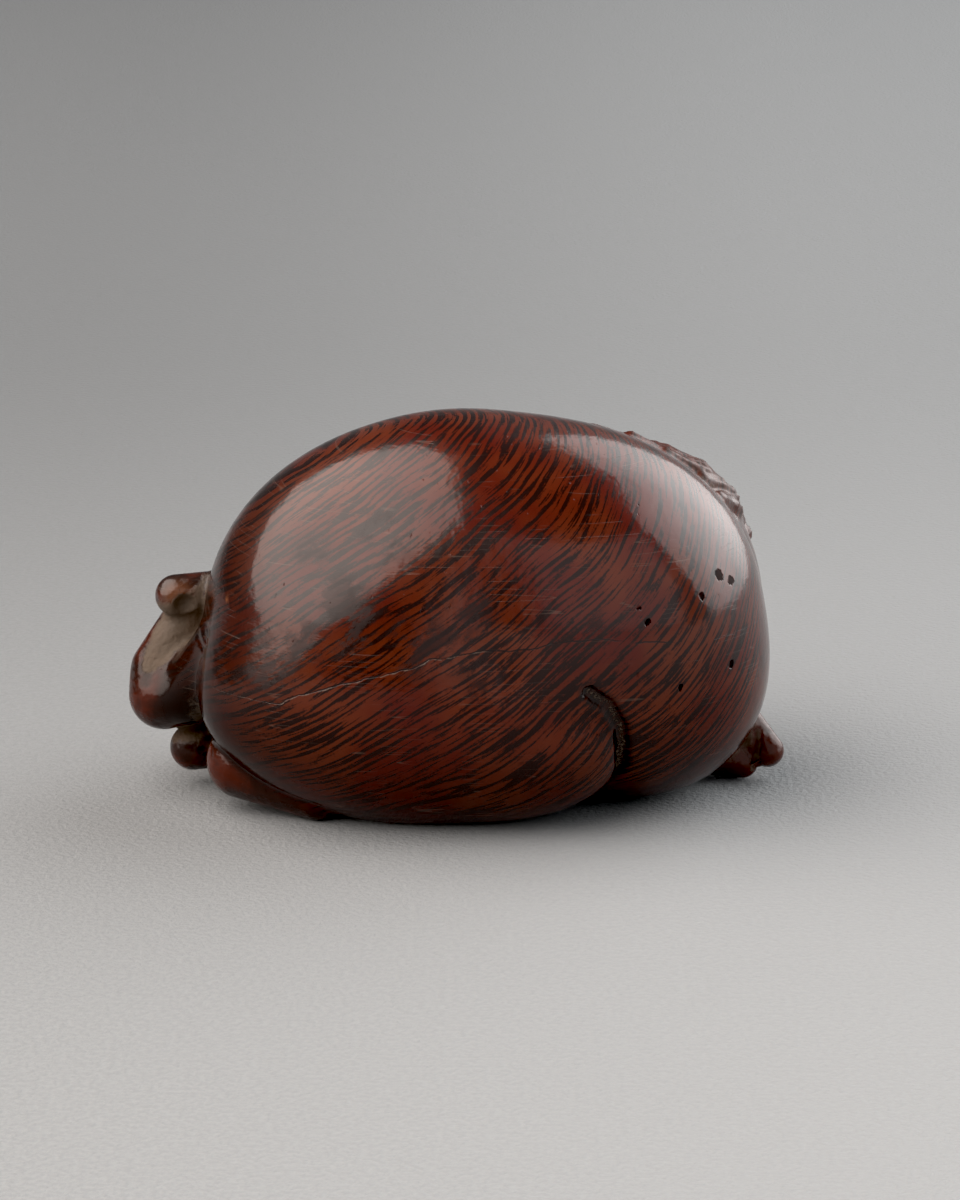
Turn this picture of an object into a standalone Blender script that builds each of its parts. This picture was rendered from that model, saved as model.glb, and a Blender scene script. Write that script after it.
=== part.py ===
"""A netsuke: a sleeping boar, curled up and carved in one piece of dense red-brown wood.

X runs from the rump to the shoulder, +Y away from the smooth back to the side with the head, and +Z up.
The figure is laid out on a grid with 44.6 parts to its length, so its pose and carving follow LENGTH.
Places below are in those parts, from the middle of the footprint.
"""

import math
from dataclasses import dataclass

import bmesh
import bpy
import numpy as np
from mathutils import Matrix, Vector

LENGTH = 0.0446
PARTS_IN_LENGTH = 44.6
PART = LENGTH / PARTS_IN_LENGTH

# The two holes for the cord, in the belly, and the bend that joins them
CORD_HOLE_RADIUS = 0.0017
CORD_HOLE_SPACING = 0.0085
CORD_CHANNEL_DEPTH = 0.0055
CORD_HOLES_MIDDLE = (2.6, 2.4)
CHANNEL_STEPS = 20

# Fineness of the solid, in parts
VOXEL = 0.34
FACE_COUNT = 9400
CARVING_PASSES = 6
PROBE = 0.02
LEAST_SLOPE = 0.5
CONE_SIDES = 20
FLAT_SNAP = 0.05

WOOD_COLOUR = (0.075, 0.0075, 0.0022, 1.0)
WOOD_ROUGHNESS = 0.2


@dataclass(frozen=True)
class Mass:
    """A rounded mass: an ellipsoid, turned about X, Y and Z in degrees, melting into the rest by soft."""

    centre: tuple
    radii: tuple
    turn: tuple = (0.0, 0.0, 0.0)
    soft: float = 1.0


@dataclass(frozen=True)
class Limb:
    """A tapered round limb between two points, melting into the rest by soft."""

    start: tuple
    end: tuple
    start_radius: float
    end_radius: float
    soft: float = 1.0


@dataclass(frozen=True)
class Group:
    """Masses that melt together first. Their seam with the rest is sharp about one point and soft elsewhere."""

    masses: tuple
    soft: float
    sharp_at: tuple


@dataclass(frozen=True)
class Cut:
    """A carved line through points near the surface, width to each side, and deep at its middle."""

    path: tuple
    width: float
    depth: float


@dataclass(frozen=True)
class Pit:
    """A round hollow about a point near the surface."""

    centre: tuple
    radius: float


# The trunk: barrel, shoulder, chest, rump, and the neck that turns to the far side
TRUNK = (
    Mass((0.4, -1.1, 13.4), (16.2, 11.9, 13.0)),
    Mass((8.1, -0.8, 12.5), (12.3, 11.8, 12.0), soft=3.0),
    Mass((12.1, -0.8, 8.4), (8.6, 9.6, 8.3), soft=2.0),
    Mass((-6.0, -1.4, 11.0), (10.9, 11.4, 10.9), soft=4.0),
    Mass((12.4, 4.8, 12.2), (8.2, 8.2, 10.4), turn=(0.0, -10.0, 0.0), soft=0.5),
)

# Hind legs: the near one is folded forward, thigh and knee in one, and the far one lies under the snout
THIGH = Mass((-3.5, -6.35, 6.85), (13.9, 7.3, 7.1), turn=(0.0, 4.0, -6.0))
KNEE = Mass((4.3, -8.5, 6.5), (6.3, 4.3, 4.6), turn=(0.0, 4.0, -4.0), soft=3.5)
HIND_LEGS = (
    Group((THIGH, KNEE), soft=3.0, sharp_at=(10.0, -9.0, 4.5)),
    Limb((-14.4, -5.2, 3.4), (-9.6, -7.6, 1.7), 2.7, 1.75, soft=0.35),
    Mass((-8.4, 5.2, 7.5), (8.4, 6.3, 7.6), soft=0.7),
    Limb((-14.8, 6.6, 3.2), (-8.4, 11.2, 2.1), 2.8, 1.9, soft=0.4),
)

# The rump: tail, the bulb under it with a slope above, and the far hock that shows behind
RUMP = (
    Limb((-15.0, 1.2, 13.8), (-19.3, 0.2, 13.4), 1.2, 1.42, soft=0.35),
    Limb((-18.2, 1.6, 12.2), (-20.6, 0.8, 8.2), 1.6, 1.85, soft=0.6),
    Limb((-14.0, 0.6, 8.8), (-20.2, 0.0, 6.5), 3.6, 2.4, soft=0.9),
    Limb((-12.0, 4.0, 3.2), (-18.3, 0.6, 2.6), 2.6, 1.6, soft=0.3),
)

# Forelegs: the near trotter peeps out at the shoulder end, the far foreleg lies under the head
FORELEGS = (
    Limb((12.5, 3.2, 3.2), (18.6, 2.0, 1.5), 2.9, 1.45, soft=0.4),
    Limb((18.2, 2.0, 1.5), (19.3, 1.6, 1.1), 1.4, 1.0, soft=0.25),
    Limb((17.4, 3.8, 5.2), (20.95, 1.7, 2.0), 1.9, 1.15, soft=0.25),
    Limb((13.6, 8.4, 4.2), (4.6, 12.4, 2.2), 3.7, 2.0, soft=0.5),
)

# A folded trotter: two toes side by side and two dewclaws behind them
TROTTERS = (
    ((-8.4, 11.2, 2.0), (4.6, 1.5, -0.9)),
    ((4.6, 12.4, 2.1), (-4.6, 0.9, -0.9)),
)
TOE_RADII = (1.35, 0.75)
TOE_SPREAD = 0.8
TOE_TIP_SHARE = 0.8
CLAW_SPREAD = 1.6
CLAW_PLACE = 0.12
CLAW_RADII = (0.9, 0.55)
TOE_SOFT = 0.25

# The head lies along the far flank with its snout to the rump
HEAD = (
    Limb((9.0, 8.4, 11.0), (-3.4, 11.0, 6.7), 6.2, 2.6, soft=0.8),
    Mass((6.6, 10.9, 7.9), (4.6, 3.9, 4.3), turn=(0.0, 15.0, 0.0), soft=1.2),
    Limb((5.0, 10.6, 6.0), (-3.2, 11.5, 4.7), 3.1, 1.6, soft=0.35),
    Mass((-5.9, 11.5, 6.2), (0.9, 2.75, 2.5), turn=(0.0, 8.0, -14.0), soft=0.4),
    Mass((3.4, 13.0, 11.6), (2.5, 1.3, 1.0), turn=(0.0, 20.0, -12.0), soft=0.8),
    Mass((2.6, 13.5, 10.0), (1.5, 0.9, 0.8), turn=(0.0, 16.0, -12.0), soft=0.3),
    Limb((-1.6, 13.3, 5.3), (-2.2, 14.1, 6.7), 0.6, 0.3, soft=0.25),
    Mass((11.0, 12.65, 14.0), (2.4, 1.0, 4.0), turn=(-10.0, 38.0, -24.0), soft=0.35),
    Mass((8.8, 9.9, 17.0), (1.7, 1.3, 3.4), turn=(-30.0, 62.0, -10.0), soft=0.35),
)

# The crest of bristle locks runs from the back over the neck to the poll, with its tips to the rump
CREST_PATH = (
    (9.6, 3.6, 24.0),
    (12.4, 3.9, 22.6),
    (15.0, 4.4, 20.6),
    (17.2, 5.4, 18.2),
    (17.6, 8.0, 16.4),
    (16.0, 10.4, 16.0),
    (13.2, 11.4, 16.8),
)
CREST_LOCKS = 9
CREST_LOCK_LENGTH = 3.2
CREST_LOCK_RADII = (1.1, 0.42)
CREST_ROW_SPREAD = 0.9
CREST_ROOT_SHARE = 0.6
CREST_ROOT_LIFT = -0.6
CREST_TIP_LIFT = -0.1

# Carved lines: the crescent around the knee, the crease at the neck, the mouth, the closed eye, a trotter
KNEE_CRESCENT = (
    (8.3, -11.8, 10.4),
    (9.5, -11.2, 9.5),
    (10.4, -10.6, 7.8),
    (10.6, -10.1, 6.4),
    (9.8, -9.4, 4.3),
    (9.0, -8.8, 3.3),
    (7.6, -7.4, 1.6),
)
CUTS = (
    Cut(KNEE_CRESCENT, 0.65, 0.9),
    Cut(((18.9, 1.3, 17.6), (19.8, 1.6, 15.4), (20.3, 1.8, 13.2)), 0.5, 0.5),
    Cut(((-5.2, 13.4, 5.2), (-1.0, 13.4, 5.4), (3.0, 14.0, 5.9), (5.2, 14.6, 7.0)), 0.4, 0.5),
    Cut(((1.3, 14.4, 10.2), (2.5, 14.5, 9.6), (3.8, 14.4, 9.9)), 0.3, 0.4),
    Cut(((20.2, 1.0, 3.6), (20.2, 0.9, 2.4), (20.0, 0.9, 1.0)), 0.3, 0.4),
)
CUT_STEPS = 3
NOSTRILS = (Pit((-6.8, 10.5, 6.5), 0.6), Pit((-6.9, 12.4, 6.5), 0.6))
HOLLOWS = (Pit((10.6, 14.0, 13.4), 0.9), Pit((-18.6, -1.2, 13.0), 0.8))
SHARP_SEAM = 0.3
SHARP_REACH = 3.5
SOFT_REACH = 10.0


@dataclass(frozen=True)
class Figure:
    """The masses of the figure, and the cuts and pits that are carved into them."""

    masses: tuple
    cuts: tuple
    pits: tuple


def turning(turn):
    """The rotation about X, then Y, then Z, by degrees."""
    angles = [math.radians(angle) for angle in turn]
    matrix = Matrix.Rotation(angles[2], 3, "Z") @ Matrix.Rotation(angles[1], 3, "Y")
    return matrix @ Matrix.Rotation(angles[0], 3, "X")


def mass_distance(points, mass):
    """Roughly the distance to an ellipsoid: how far out a point is, over how steeply that grows."""
    local = (points - np.array(mass.centre)) @ np.array(turning(mass.turn)) / np.array(mass.radii)
    reach = np.linalg.norm(local, axis=1) + 1e-9
    slope = np.linalg.norm(local / np.array(mass.radii), axis=1) + 1e-9
    return reach * (reach - 1.0) / slope


def limb_distance(points, limb):
    """Distance to a limb whose radius runs evenly from its start to its end."""
    start = np.array(limb.start)
    along = np.array(limb.end) - start
    share = np.clip((points - start) @ along / (along @ along), 0.0, 1.0)
    nearest = start + share[:, None] * along
    radius = limb.start_radius + share * (limb.end_radius - limb.start_radius)
    return np.linalg.norm(points - nearest, axis=1) - radius


def path_distance(points, path):
    """Distance to a line through the points of a path."""
    nearest = np.full(len(points), np.inf)
    for start, end in zip(path[:-1], path[1:]):
        nearest = np.minimum(nearest, limb_distance(points, Limb(start, end, 0.0, 0.0)))
    return nearest


def melt(first, second, soft):
    """The union of two distances, rounded over a width of soft where they meet."""
    share = np.clip(0.5 + 0.5 * (second - first) / soft, 0.0, 1.0)
    return second + (first - second) * share - soft * share * (1.0 - share)


def along_path(path, share):
    """The point at a share of a path, and the path's direction there."""
    place = share * (len(path) - 1)
    index = min(int(place), len(path) - 2)
    start = Vector(path[index])
    step = Vector(path[index + 1]) - start
    return start + step * (place - index), step.normalized()


def crest_locks():
    """The locks of the crest, in two rows: each tip lies on the surface, over the lock behind it."""
    roots = []
    tips = []
    for index in range(CREST_LOCKS):
        root, forward = along_path(CREST_PATH, index / (CREST_LOCKS - 1))
        across = forward.cross(root - Vector(TRUNK[1].centre)).normalized() * CREST_ROW_SPREAD
        for side in (-1, 1):
            roots.append(root + across * side * CREST_ROOT_SHARE)
            tips.append(root - forward * CREST_LOCK_LENGTH + across * side)
    roots = onto_surface(np.array(roots), lambda points: uncut_field(points, TRUNK) - CREST_ROOT_LIFT)
    tips = onto_surface(np.array(tips), lambda points: uncut_field(points, TRUNK) - CREST_TIP_LIFT)
    return tuple(Limb(tuple(root), tuple(tip), *CREST_LOCK_RADII, soft=0.4) for root, tip in zip(roots, tips))


def trotters():
    """The toes of the two trotters under the head, each pair side by side along its heading."""
    toes = []
    for ankle, heading in TROTTERS:
        ankle = Vector(ankle)
        heading = Vector(heading)
        across = heading.cross(Vector((0.0, 0.0, 1.0))).normalized() * TOE_SPREAD
        for side in (-1, 1):
            tip = ankle + heading + across * side * TOE_TIP_SHARE
            claw = ankle + across * side * CLAW_SPREAD + heading * CLAW_PLACE
            toes.append(Limb(tuple(ankle + across * side), tuple(tip), *TOE_RADII, soft=TOE_SOFT))
            toes.append(Limb(tuple(ankle), tuple(claw), *CLAW_RADII, soft=TOE_SOFT))
    return tuple(toes)


def seam_softness(points, group):
    """How softly a group melts into the rest: sharply about one point, and fully soft away from it."""
    away = np.linalg.norm(points - np.array(group.sharp_at), axis=1)
    share = np.clip((away - SHARP_REACH) / (SOFT_REACH - SHARP_REACH), 0.0, 1.0)
    return SHARP_SEAM + (group.soft - SHARP_SEAM) * share * share * (3.0 - 2.0 * share)


def uncut_field(points, masses):
    """How far points lie outside the melted masses, in parts; negative inside."""
    field = None
    for mass in masses:
        soft = mass.soft
        if isinstance(mass, Group):
            distance = uncut_field(points, mass.masses)
            soft = seam_softness(points, mass)
        elif isinstance(mass, Mass):
            distance = mass_distance(points, mass)
        else:
            distance = limb_distance(points, mass)
        field = distance if field is None else melt(distance, field, soft)
    return field


def figure_field(points, figure):
    """How far points lie outside the carved figure, in parts; negative inside. The floor cuts it flat."""
    field = uncut_field(points, figure.masses)
    for cut in figure.cuts:
        reach = np.clip(1.0 - path_distance(points, cut.path) / cut.width, 0.0, 1.0)
        field += cut.depth * reach * reach * (3.0 - 2.0 * reach)
    for pit in figure.pits:
        field = np.maximum(field, pit.radius - np.linalg.norm(points - np.array(pit.centre), axis=1))
    return np.maximum(field, -points[:, 2])


def onto_surface(points, field_of):
    """Move points onto the surface where a field is nought, along its slope."""
    for _ in range(CARVING_PASSES):
        field = field_of(points)
        slope = np.empty_like(points)
        for axis in range(3):
            step = np.zeros(3)
            step[axis] = PROBE
            slope[:, axis] = (field_of(points + step) - field) / PROBE
        steepness = np.maximum((slope**2).sum(axis=1), LEAST_SLOPE**2)
        points = points - slope * np.clip(field / steepness, -1.0, 1.0)[:, None]
    return points


def boar_figure():
    """The boar, with each carved line laid onto the surface of its masses."""
    masses = TRUNK + HIND_LEGS + RUMP + FORELEGS + trotters() + HEAD + crest_locks()
    cuts = []
    for cut in CUTS:
        steps = CUT_STEPS * (len(cut.path) - 1)
        path = np.array([along_path(cut.path, index / steps)[0] for index in range(steps + 1)])
        path = onto_surface(path, lambda points: uncut_field(points, masses))
        cuts.append(Cut(tuple(map(tuple, path)), cut.width, cut.depth))
    return Figure(masses, tuple(cuts), NOSTRILS + HOLLOWS)


def empty_the_scene():
    """Remove every object that is already there."""
    for old in list(bpy.data.objects):
        bpy.data.objects.remove(old, do_unlink=True)


def wood_material():
    """Dense red-brown wood, waxed by handling."""
    material = bpy.data.materials.new("dark_red_wood")
    material.use_nodes = True
    shader = material.node_tree.nodes["Principled BSDF"]
    shader.inputs["Base Color"].default_value = WOOD_COLOUR
    shader.inputs["Roughness"].default_value = WOOD_ROUGHNESS
    shader.inputs["Metallic"].default_value = 0.0
    return material


def add_ball(mesh, centre, radii, turn=(0.0, 0.0, 0.0), fineness=4):
    """Add an ellipsoid to a bmesh, in parts."""
    place = Matrix.Translation(Vector(centre)) @ turning(turn).to_4x4() @ Matrix.Diagonal((*radii, 1.0))
    bmesh.ops.create_icosphere(mesh, subdivisions=fineness, radius=1.0, matrix=place)


def add_limb(mesh, limb):
    """Add a limb to a bmesh, as a cone between two balls, in parts."""
    start, end = Vector(limb.start), Vector(limb.end)
    along = end - start
    place = Matrix.Translation((start + end) / 2) @ along.to_track_quat("Z", "Y").to_matrix().to_4x4()
    bmesh.ops.create_cone(mesh, cap_ends=True, segments=CONE_SIDES, radius1=limb.start_radius,
                          radius2=limb.end_radius, depth=along.length, matrix=place)
    add_ball(mesh, start, (limb.start_radius,) * 3, fineness=3)
    add_ball(mesh, end, (limb.end_radius,) * 3, fineness=3)


def add_masses(mesh, masses):
    """Add masses, limbs and groups to a bmesh, as overlapping balls and cones."""
    for mass in masses:
        if isinstance(mass, Group):
            add_masses(mesh, mass.masses)
        elif isinstance(mass, Mass):
            add_ball(mesh, mass.centre, mass.radii, mass.turn)
        else:
            add_limb(mesh, mass)


def rough_block(masses):
    """The masses in one object, not yet fused."""
    mesh = bmesh.new()
    add_masses(mesh, masses)
    bmesh.ops.scale(mesh, vec=(PART,) * 3, verts=mesh.verts)
    data = bpy.data.meshes.new("boar")
    mesh.to_mesh(data)
    mesh.free()
    block = bpy.data.objects.new("boar", data)
    bpy.context.collection.objects.link(block)
    return block


def settle(target):
    """Replace an object's mesh by what its modifiers make of it."""
    bpy.context.view_layer.update()
    evaluated = target.evaluated_get(bpy.context.evaluated_depsgraph_get())
    mesh = bpy.data.meshes.new_from_object(evaluated)
    target.modifiers.clear()
    target.data = mesh


def fuse(block):
    """Fuse the balls into one skin of small, even faces."""
    remesh = block.modifiers.new("fuse", "REMESH")
    remesh.mode = "VOXEL"
    remesh.voxel_size = VOXEL * PART
    settle(block)


def carve(block, figure):
    """Carve the fused skin to the figure."""
    points = np.empty(len(block.data.vertices) * 3)
    block.data.vertices.foreach_get("co", points)
    points = onto_surface(points.reshape(-1, 3) / PART, lambda places: figure_field(places, figure))
    block.data.vertices.foreach_set("co", (points * PART).ravel())
    block.data.update()


def thin_out(block):
    """Leave few faces where the surface is smooth, and let the worn underside be exactly flat."""
    triangles = sum(len(face.vertices) - 2 for face in block.data.polygons)
    thin = block.modifiers.new("thin", "DECIMATE")
    thin.ratio = FACE_COUNT / triangles
    settle(block)
    for vertex in block.data.vertices:
        if vertex.co.z < FLAT_SNAP * PART:
            vertex.co.z = 0.0


def cord_channel():
    """The cutter for the cord: a round bend from one hole in the belly to the other."""
    curve = bpy.data.curves.new("cord_channel", "CURVE")
    curve.dimensions = "3D"
    curve.bevel_depth = CORD_HOLE_RADIUS
    curve.bevel_resolution = 3
    curve.use_fill_caps = True
    line = curve.splines.new("POLY")
    line.points.add(CHANNEL_STEPS)
    for index in range(CHANNEL_STEPS + 1):
        angle = math.pi * index / CHANNEL_STEPS
        across = -math.cos(angle) * CORD_HOLE_SPACING / 2
        height = math.sin(angle) * (CORD_CHANNEL_DEPTH + CORD_HOLE_RADIUS) - CORD_HOLE_RADIUS
        line.points[index].co = (across, 0.0, height, 1.0)
    line_object = bpy.data.objects.new("cord_channel_line", curve)
    bpy.context.collection.objects.link(line_object)
    bpy.context.view_layer.update()
    evaluated = line_object.evaluated_get(bpy.context.evaluated_depsgraph_get())
    cutter = bpy.data.objects.new("cord_channel", bpy.data.meshes.new_from_object(evaluated))
    bpy.data.objects.remove(line_object, do_unlink=True)
    cutter.location = (CORD_HOLES_MIDDLE[0] * PART, CORD_HOLES_MIDDLE[1] * PART, 0.0)
    cutter.hide_render = True
    cutter.display_type = "WIRE"
    bpy.context.collection.objects.link(cutter)
    return cutter


def make_boar():
    """Carve the boar, and drill the channel for its cord."""
    figure = boar_figure()
    boar = rough_block(figure.masses)
    fuse(boar)
    carve(boar, figure)
    thin_out(boar)
    boar.data.name = "boar"
    drill = boar.modifiers.new("cord_channel", "BOOLEAN")
    drill.operation = "DIFFERENCE"
    drill.solver = "EXACT"
    drill.object = cord_channel()
    boar.data.materials.append(wood_material())
    boar.data.shade_smooth()
    return boar


def main():
    """Make the netsuke."""
    empty_the_scene()
    make_boar()


if __name__ == "__main__":
    main()
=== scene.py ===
"""The dressed look of a netsuke: a curled, sleeping boar carved in dense red-brown wood.

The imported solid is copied, laid out again in small even faces, and settled onto the carver's surface, which is
worked out here in millimetres as one field of melted masses, cut lines and pits. The wood's growth layers, the dust
in the hollows, the hairline crack and the worn spots are kept on the surface as attributes for its finish.
"""

from __future__ import annotations

import logging
import math
from collections.abc import Callable
from dataclasses import dataclass, field
from enum import Enum
from typing import Union

import bpy
import bmesh
import numpy as np
from mathutils import Matrix, Vector

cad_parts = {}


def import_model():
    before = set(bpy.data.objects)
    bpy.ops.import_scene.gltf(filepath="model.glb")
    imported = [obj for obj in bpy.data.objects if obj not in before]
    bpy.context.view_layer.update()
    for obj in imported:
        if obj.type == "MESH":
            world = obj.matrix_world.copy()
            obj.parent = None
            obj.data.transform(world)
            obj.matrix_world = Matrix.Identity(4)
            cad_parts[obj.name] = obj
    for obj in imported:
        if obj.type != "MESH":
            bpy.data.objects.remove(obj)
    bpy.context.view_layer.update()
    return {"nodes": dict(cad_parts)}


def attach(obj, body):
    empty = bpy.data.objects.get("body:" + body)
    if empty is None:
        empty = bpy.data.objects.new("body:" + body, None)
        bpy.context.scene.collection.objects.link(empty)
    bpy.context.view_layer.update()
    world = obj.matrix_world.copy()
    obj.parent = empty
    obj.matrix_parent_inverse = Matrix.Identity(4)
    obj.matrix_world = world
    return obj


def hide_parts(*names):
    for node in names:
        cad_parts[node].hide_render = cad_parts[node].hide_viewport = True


MM = 0.001
NODE = "boar"
BODY = "root"

FieldOf = Callable[[np.ndarray], np.ndarray]
Socket = bpy.types.NodeSocket
Value = Union[bpy.types.NodeSocket, float, tuple, None]

log = logging.getLogger("netsuke")


class Mark(Enum):
    """What is kept on the surface for the finish."""

    GRAIN = "grain"
    DUST = "dust"
    CRACK = "crack"
    WORN = "worn"
    PALE = "pale"
    PACE = "pace"
    QUIET = "quiet"
    PITTED = "pitted"
    DUSTY = "dusty"
    GROOVE = "groove"
    CREST = "crest"
    SHADED_WALL = "wall"


def smooth_step(share: np.ndarray) -> np.ndarray:
    """Ease a share from 0 to 1: 3s^2 - 2s^3, held at both ends."""
    share = np.clip(share, 0.0, 1.0)
    return share * share * (3.0 - 2.0 * share)


def turning(degrees: tuple) -> np.ndarray:
    """The rotation about X, then Y, then Z, as a 3 by 3 array."""
    angles = [math.radians(angle) for angle in degrees]
    matrix = Matrix.Rotation(angles[2], 3, "Z") @ Matrix.Rotation(angles[1], 3, "Y")
    return np.array(matrix @ Matrix.Rotation(angles[0], 3, "X"))


@dataclass(frozen=True)
class Mass:
    """An ellipsoid, turned about X, Y and Z in degrees, melting into the rest by soft."""

    centre: tuple
    radii: tuple
    turn: tuple = (0.0, 0.0, 0.0)
    soft: float = 1.0

    def distance(self, points: np.ndarray) -> np.ndarray:
        """How far points lie outside: k(k - 1) / |l / r|, where l is local, k = |l / r| and r the radii.

        Args:
            points: places in millimetres, one row each.

        Returns:
            Roughly the distance to the surface, negative inside.
        """
        radii = np.array(self.radii)
        local = (points - np.array(self.centre)) @ turning(self.turn) / radii
        reach = np.linalg.norm(local, axis=1) + 1e-9
        slope = np.linalg.norm(local / radii, axis=1) + 1e-9
        return reach * (reach - 1.0) / slope


@dataclass(frozen=True)
class Limb:
    """A tapered round limb between two points, melting into the rest by soft."""

    start: tuple
    end: tuple
    start_radius: float
    end_radius: float
    soft: float = 1.0

    def distance(self, points: np.ndarray) -> np.ndarray:
        """How far points lie outside: the distance to the line, less a radius that runs evenly along it.

        Args:
            points: places in millimetres, one row each.

        Returns:
            The distance to the surface, negative inside.
        """
        start = np.array(self.start)
        along = np.array(self.end) - start
        share = np.clip((points - start) @ along / (along @ along), 0.0, 1.0)
        nearest = start + share[:, None] * along
        radius = self.start_radius + share * (self.end_radius - self.start_radius)
        return np.linalg.norm(points - nearest, axis=1) - radius


@dataclass(frozen=True)
class Group:
    """Masses that melt together first. Their seam with the rest is sharp about one point, and soft away from it."""

    masses: tuple
    soft: float
    sharp_at: tuple
    sharp_seam: float = 0.3
    sharp_reach: float = 3.5
    soft_reach: float = 10.0

    def distance(self, points: np.ndarray) -> np.ndarray:
        """The distance to the melted masses of the group."""
        return melted(points, self.masses)

    def softness(self, points: np.ndarray) -> np.ndarray:
        """The softness of the seam at each point: from sharp_seam near sharp_at to soft, eased between."""
        away = np.linalg.norm(points - np.array(self.sharp_at), axis=1)
        share = (away - self.sharp_reach) / (self.soft_reach - self.sharp_reach)
        return self.sharp_seam + (self.soft - self.sharp_seam) * smooth_step(share)


@dataclass(frozen=True)
class Cut:
    """A carved line through points near the surface, width to each side, and deep at its middle."""

    path: tuple
    width: float
    depth: float


@dataclass(frozen=True)
class Pit:
    """A round hollow about a point near the surface."""

    centre: tuple
    radius: float


def melt(first: np.ndarray, second: np.ndarray, soft: np.ndarray) -> np.ndarray:
    """The union of two distances, rounded where they meet: b + (a - b)s - w s(1 - s), s = 1/2 + (b - a) / 2w."""
    share = np.clip(0.5 + 0.5 * (second - first) / soft, 0.0, 1.0)
    return second + (first - second) * share - soft * share * (1.0 - share)


def melted(points: np.ndarray, masses: tuple) -> np.ndarray:
    """Melt masses together, one after the other.

    Args:
        points: places in millimetres, one row each.
        masses: masses, limbs and groups.

    Returns:
        How far each point lies outside them, negative inside.
    """
    total = None
    for mass in masses:
        soft = mass.softness(points) if isinstance(mass, Group) else mass.soft
        distance = mass.distance(points)
        total = distance if total is None else melt(distance, total, soft)
    return total


def path_distance(points: np.ndarray, path: np.ndarray) -> np.ndarray:
    """The distance from each point to the nearest stretch of a path.

    Args:
        points: places in millimetres, one row each.
        path: the path's points, one row each.

    Returns:
        One distance for each point.
    """
    nearest = np.full(len(points), np.inf)
    for start, end in zip(path[:-1], path[1:]):
        nearest = np.minimum(nearest, Limb(tuple(start), tuple(end), 0.0, 0.0).distance(points))
    return nearest


def along_path(path: np.ndarray, shares: np.ndarray) -> np.ndarray:
    """Points at shares of a path, each of whose stretches counts as equally long."""
    places = np.asarray(shares) * (len(path) - 1)
    knots = np.arange(len(path))
    return np.stack([np.interp(places, knots, np.array(path)[:, axis]) for axis in range(3)], axis=1)


def settle(points: np.ndarray, field_of: FieldOf, passes: int = 6, probe: float = 0.02) -> np.ndarray:
    """Move points onto the surface where a field is nought: p - g f / |g|^2, over and over, g being its slope.

    Args:
        points: places in millimetres, one row each.
        field_of: the function that gives the field at points.
        passes: how many times the points are moved.
        probe: the step by which the slope is measured.

    Returns:
        The moved points.
    """
    for _ in range(passes):
        value = field_of(points)
        slope = slope_of(points, field_of, value, probe)
        steepness = np.maximum((slope**2).sum(axis=1), 0.25)
        points = points - slope * np.clip(value / steepness, -1.0, 1.0)[:, None]
    return points


def slope_of(points: np.ndarray, field_of: FieldOf, value: np.ndarray, probe: float = 0.02) -> np.ndarray:
    """The slope of a field at points, from one step along each axis.

    Args:
        points: places in millimetres, one row each.
        field_of: the function that gives the field at points.
        value: the field at these points.
        probe: the length of the step.

    Returns:
        One row for each point.
    """
    columns = [(field_of(points + step) - value) / probe for step in np.eye(3) * probe]
    return np.stack(columns, axis=1)


@dataclass(frozen=True)
class Trunk:
    """Barrel, shoulder, chest and rump, and the neck that turns to the far side."""

    barrel: Mass = Mass((0.4, -1.1, 13.4), (16.2, 11.9, 13.0))
    shoulder: Mass = Mass((8.1, -0.8, 12.5), (12.3, 11.8, 12.0), soft=3.0)
    chest: Mass = Mass((12.1, -0.8, 8.4), (8.6, 9.6, 8.3), soft=2.0)
    rump: Mass = Mass((-6.0, -1.4, 11.0), (10.9, 11.4, 10.9), soft=4.0)
    neck: Mass = Mass((12.4, 4.8, 12.2), (8.2, 8.2, 10.4), turn=(0.0, -10.0, 0.0), soft=0.5)
    neck_crease: Cut = Cut(((18.9, 1.3, 17.6), (19.8, 1.6, 15.4), (20.3, 1.8, 13.2)), 0.5, 0.5)

    def masses(self) -> tuple:
        """The masses, in the order in which they melt."""
        return (self.barrel, self.shoulder, self.chest, self.rump, self.neck)

    def cuts(self) -> tuple:
        """The crease where the neck folds behind the shoulder."""
        return (self.neck_crease,)


def trunk_distance(points: np.ndarray, trunk: Trunk) -> np.ndarray:
    """How far points lie off the bare trunk."""
    return melted(points, trunk.masses())


@dataclass(frozen=True)
class HindLegs:
    """The near hind leg, folded forward, with the crescent around its knee, and the far one under the snout."""

    thigh: Mass = Mass((-3.5, -6.35, 6.85), (13.9, 7.3, 7.1), turn=(0.0, 4.0, -6.0))
    knee: Mass = Mass((4.3, -8.5, 6.5), (6.3, 4.3, 4.6), turn=(0.0, 4.0, -4.0), soft=3.5)
    knee_seam: tuple = (10.0, -9.0, 4.5)
    near_foot: Limb = Limb((-14.4, -5.2, 3.4), (-9.6, -7.6, 1.7), 2.7, 1.75, soft=0.35)
    far_thigh: Mass = Mass((-8.4, 5.2, 7.5), (8.4, 6.3, 7.6), soft=0.7)
    far_foot: Limb = Limb((-14.8, 6.6, 3.2), (-8.4, 11.2, 2.1), 2.8, 1.9, soft=0.4)
    crescent: tuple = (
        (8.3, -11.8, 10.4),
        (9.5, -11.2, 9.5),
        (10.4, -10.6, 7.8),
        (10.6, -10.1, 6.4),
        (9.8, -9.4, 4.3),
        (9.0, -8.8, 3.3),
        (7.6, -7.4, 1.6),
    )
    crescent_width: float = 0.65
    crescent_depth: float = 0.9

    def masses(self) -> tuple:
        """The masses, in the order in which they melt."""
        near = Group((self.thigh, self.knee), 3.0, self.knee_seam)
        return (near, self.near_foot, self.far_thigh, self.far_foot)

    def cuts(self) -> tuple:
        """The crescent around the knee."""
        return (Cut(self.crescent, self.crescent_width, self.crescent_depth),)


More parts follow.
